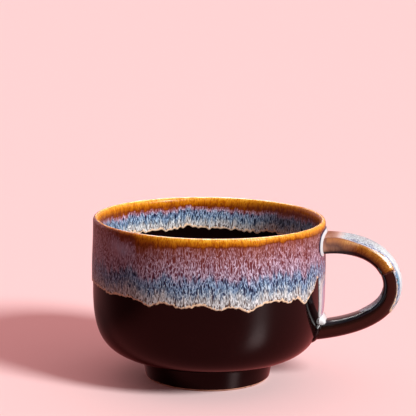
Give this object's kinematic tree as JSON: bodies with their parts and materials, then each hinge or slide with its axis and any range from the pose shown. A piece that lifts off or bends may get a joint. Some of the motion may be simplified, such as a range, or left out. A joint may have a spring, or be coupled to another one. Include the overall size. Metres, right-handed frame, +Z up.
{
  "type": "coffee mug",
  "caption": "Wide low stoneware coffee mug on a turned foot ring, with a loop handle, a dark glaze and a streaked second glaze ending in a drip edge below an amber lip.",
  "frame": {"origin": "on the table, under the middle of the mug's box with the handle counted in; the bowl's axis stands 17.1 mm towards -X of it", "axes": "+X from the bowl towards the handle, in the handle's plane; +Z up; +Y across the handle"},
  "size_m": [0.1392, 0.105, 0.073],
  "materials": {
    "stoneware": "bare fired stoneware, matte",
    "dark_glaze": "glossy black-brown glaze",
    "streaked_glaze": "glossy mauve, blue and white streaked glaze",
    "amber_glaze": "glossy amber glaze, broken thin over the lip",
    "white_glaze": "glossy pooled white glaze"
  },
  "bodies": {
    "root": {"cup_body": "stoneware", "foot_ring": "stoneware", "handle": "stoneware", "upper_joint_collar": "white_glaze", "lower_joint_collar": "dark_glaze", "base_glaze_outside": "dark_glaze", "base_glaze_inside": "dark_glaze", "base_glaze_underside": "dark_glaze", "base_glaze_handle": "dark_glaze", "run_glaze_outside": "streaked_glaze", "run_glaze_inside": "streaked_glaze", "rim_glaze": "amber_glaze", "run_glaze_handle": "streaked_glaze", "run_glaze_pool": "white_glaze"}
  },
  "joints": []
}
